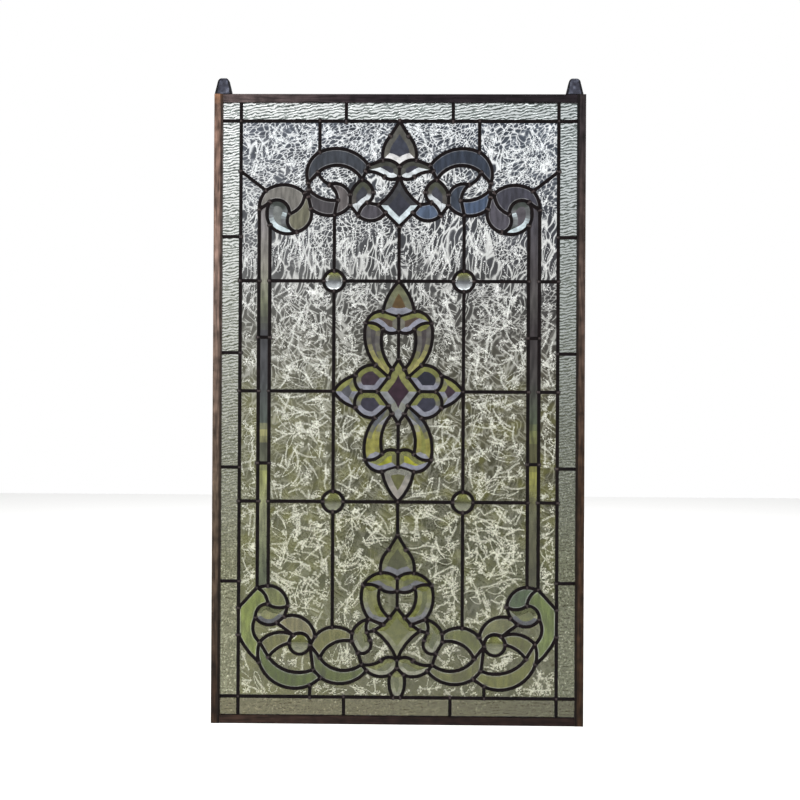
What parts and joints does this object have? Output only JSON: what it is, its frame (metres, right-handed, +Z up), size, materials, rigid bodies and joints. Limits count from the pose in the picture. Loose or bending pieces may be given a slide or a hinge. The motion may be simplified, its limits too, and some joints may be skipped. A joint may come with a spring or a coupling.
{
  "type": "stained glass window",
  "caption": "Hanging window panel of leaded clear bevels, jewels and glue-chip glass with a ripple-glass border, in a metal channel frame with two strap loops.",
  "frame": {"origin": "halfway between the two strap loops, at the height where a hook bears inside them", "axes": "+Z up, +X to the right seen from the front, front towards -Y"},
  "size_m": [0.5206, 0.009, 0.9055],
  "materials": {
    "channel": "brown patina, rubbed at the corners",
    "strap": "grey solder skin with dark edges",
    "lead": "black-brown patina on lead came, clear bevels and jewels in it",
    "glue_chip_glass": "clear, with white fern-like glue-chip marks",
    "ripple_glass": "clear ripple"
  },
  "bodies": {
    "root": {"border_corner_foot_left": "ripple_glass", "border_corner_foot_right": "ripple_glass", "border_corner_top_left": "ripple_glass", "border_corner_top_right": "ripple_glass", "border_foot_left": "ripple_glass", "border_foot_middle": "ripple_glass", "border_foot_right": "ripple_glass", "border_side_1_left": "ripple_glass", "border_side_1_right": "ripple_glass", "border_side_2_left": "ripple_glass", "border_side_2_right": "ripple_glass", "border_side_3_left": "ripple_glass", "border_side_3_right": "ripple_glass", "border_side_4_left": "ripple_glass", "border_side_4_right": "ripple_glass", "border_side_5_left": "ripple_glass", "border_side_5_right": "ripple_glass", "border_top_left": "ripple_glass", "border_top_middle": "ripple_glass", "border_top_right": "ripple_glass", "crown_pane_left": "glue_chip_glass", "crown_pane_right": "glue_chip_glass", "foot_corner_pane_left": "glue_chip_glass", "foot_corner_pane_right": "glue_chip_glass", "foot_pane_left": "glue_chip_glass", "foot_pane_right": "glue_chip_glass", "frame_foot": "channel", "frame_left": "channel", "frame_right": "channel", "frame_top": "channel", "inner_pane_1_left": "glue_chip_glass", "inner_pane_1_right": "glue_chip_glass", "inner_pane_2_left": "glue_chip_glass", "inner_pane_2_right": "glue_chip_glass", "inner_pane_3_left": "glue_chip_glass", "inner_pane_3_right": "glue_chip_glass", "inner_pane_4_left": "glue_chip_glass", "inner_pane_4_right": "glue_chip_glass", "leadwork": "lead", "loop_left": "strap", "loop_right": "strap", "outer_pane_1_left": "glue_chip_glass", "outer_pane_1_right": "glue_chip_glass", "outer_pane_2_left": "glue_chip_glass", "outer_pane_2_right": "glue_chip_glass", "outer_pane_3_left": "glue_chip_glass", "outer_pane_3_right": "glue_chip_glass", "outer_pane_4_left": "glue_chip_glass", "outer_pane_4_right": "glue_chip_glass", "side_pane_1_left": "glue_chip_glass", "side_pane_1_right": "glue_chip_glass", "side_pane_2_left": "glue_chip_glass", "side_pane_2_right": "glue_chip_glass", "side_pane_3_left": "glue_chip_glass", "side_pane_3_right": "glue_chip_glass", "side_pane_4_left": "glue_chip_glass", "side_pane_4_right": "glue_chip_glass", "top_corner_pane_left": "glue_chip_glass", "top_corner_pane_right": "glue_chip_glass"}
  },
  "joints": []
}
